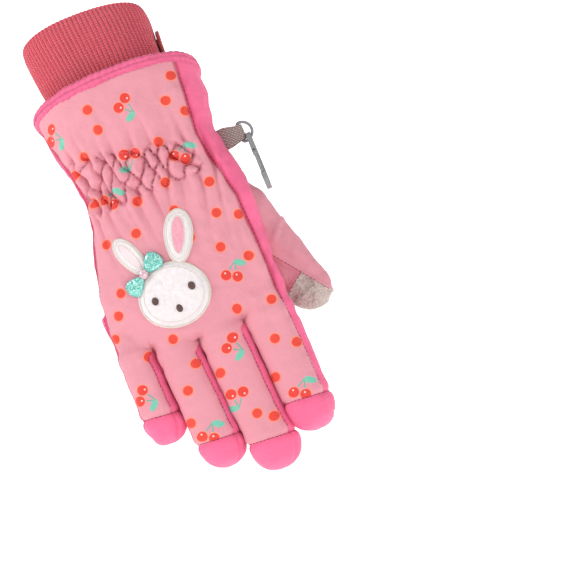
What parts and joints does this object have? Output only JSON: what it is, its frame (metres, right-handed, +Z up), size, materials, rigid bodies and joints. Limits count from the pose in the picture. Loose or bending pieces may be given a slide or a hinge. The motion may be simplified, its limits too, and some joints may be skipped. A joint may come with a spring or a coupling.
{
  "type": "children's ski glove",
  "caption": "Padded five-finger ski glove for a child's right hand, with knitted cuff, elastic wrist, rabbit patch and a hook on a webbing loop.",
  "frame": {"origin": "centre of the knitted cuff's mouth", "axes": "+Z up out of the cuff along the forearm, fingers point to -Z; +X to the thumb's side; +Y to the palm's side, so the back of the hand faces -Y"},
  "size_m": [0.1022, 0.0583, 0.2167],
  "materials": {
    "knit": "ribbed knit, coral rose",
    "knit_lining": "dark inner knit",
    "print": "pale pink with a cherry and dot print",
    "pale_pink": "plain pale pink",
    "hot_pink": "hot pink woven",
    "wadding": "white wadding",
    "lining": "brushed lining",
    "elastic": "flat elastic",
    "grip": "grey-beige textured grip",
    "red_tab": "red ribbed",
    "plush": "white plush",
    "inner_ear": "pink felt",
    "brown": "dark brown embroidery",
    "teal": "teal glitter",
    "knot": "pinkish silver",
    "webbing": "grey-beige woven tape",
    "clip": "grey plastic",
    "steel": "satin steel"
  },
  "bodies": {
    "gauntlet": {"gauntlet_back": "print", "gauntlet_palm": "hot_pink", "gauntlet_side_panel": "hot_pink", "gauntlet_edge_panel": "hot_pink", "wrist_elastic": "elastic", "gauntlet_wadding": "wadding", "gauntlet_lining": "lining", "knit_cuff": "knit", "cuff_inner_layer": "knit_lining", "cuff_binding": "hot_pink", "pull_tab": "red_tab", "webbing_loop": "webbing"},
    "hand": {"hand_back": "print", "hand_palm": "hot_pink", "palm_grip": "grip", "hand_side_panel": "hot_pink", "hand_edge_panel": "hot_pink", "fourchette_webs": "hot_pink", "hand_wadding": "wadding", "finger_root_wadding": "wadding", "hand_lining": "lining", "rabbit_face": "plush", "rabbit_ears": "plush", "rabbit_inner_ears": "inner_ear", "rabbit_eyes_and_nose": "brown", "bow_loops": "teal", "bow_knot": "knot"},
    "index": {"index_palm": "hot_pink", "index_cap": "hot_pink", "index_fourchettes": "hot_pink", "index_back": "print", "index_wadding": "wadding", "index_lining": "lining"},
    "middle": {"middle_palm": "hot_pink", "middle_cap": "hot_pink", "middle_fourchettes": "hot_pink", "middle_back": "print", "middle_wadding": "wadding", "middle_lining": "lining"},
    "ring_finger": {"ring_finger_palm": "hot_pink", "ring_finger_cap": "hot_pink", "ring_finger_fourchettes": "hot_pink", "ring_finger_back": "print", "ring_finger_wadding": "wadding", "ring_finger_lining": "lining"},
    "little": {"little_palm": "hot_pink", "little_cap": "hot_pink", "little_fourchettes": "hot_pink", "little_back": "print", "little_wadding": "wadding", "little_lining": "lining"},
    "thumb": {"thumb_outer_panel": "pale_pink", "thumb_inner_panel": "pale_pink", "thumb_grip": "grip", "thumb_wadding": "wadding", "thumb_lining": "lining"},
    "clip_ring_body": {"clip_ring": "clip"},
    "hook": {"clip_hook": "clip", "gate_pin": "steel"},
    "gate": {"clip_gate": "clip"}
  },
  "joints": [
    {"name": "wrist_flex", "type": "hinge", "parent": "gauntlet", "child": "hand", "pos_m": [0, -0.0099, -0.076], "axis": [1, 0, 0], "range_deg": [-20, 30], "stiffness_Nm_per_rad": 0.12},
    {"name": "index_flex", "type": "hinge", "parent": "hand", "child": "index", "pos_m": [0.02602, -0.006, -0.15399], "axis": [0.9986, 0, 0.0523], "range_deg": [0, 60], "stiffness_Nm_per_rad": 0.03},
    {"name": "middle_flex", "type": "hinge", "parent": "hand", "child": "middle", "pos_m": [0.00246, -0.006, -0.15498], "axis": [0.9976, 0, 0.0698], "range_deg": [0, 60], "stiffness_Nm_per_rad": 0.03},
    {"name": "ring_finger_flex", "type": "hinge", "parent": "hand", "child": "ring_finger", "pos_m": [-0.01908, -0.006, -0.15449], "axis": [0.9986, 0, 0.0523], "range_deg": [0, 60], "stiffness_Nm_per_rad": 0.03},
    {"name": "little_flex", "type": "hinge", "parent": "hand", "child": "little", "pos_m": [-0.03783, -0.006, -0.149], "axis": [1, 0, 0.0087], "range_deg": [0, 60], "stiffness_Nm_per_rad": 0.03},
    {"name": "thumb_flex", "type": "hinge", "parent": "hand", "child": "thumb", "pos_m": [0.0326, 0.00482, -0.10579], "axis": [0.9487, 0, 0.3162], "range_deg": [0, 40], "stiffness_Nm_per_rad": 0.03},
    {"name": "ring_swing", "type": "hinge", "parent": "gauntlet", "child": "clip_ring_body", "pos_m": [0.0445, -0.01, -0.066], "axis": [0, 0, 1], "range_deg": [-15, 15]},
    {"name": "hook_swing", "type": "hinge", "parent": "clip_ring_body", "child": "hook", "pos_m": [0.0478, -0.01, -0.07009], "axis": [1, 0, 0], "range_deg": [-45, 45]},
    {"name": "gate_press", "type": "hinge", "parent": "hook", "child": "gate", "pos_m": [0.0478, -0.0141, -0.07759], "axis": [1, 0, 0], "range_deg": [0, 22], "stiffness_Nm_per_rad": 0.0015, "springref_deg": -5.73}
  ]
}
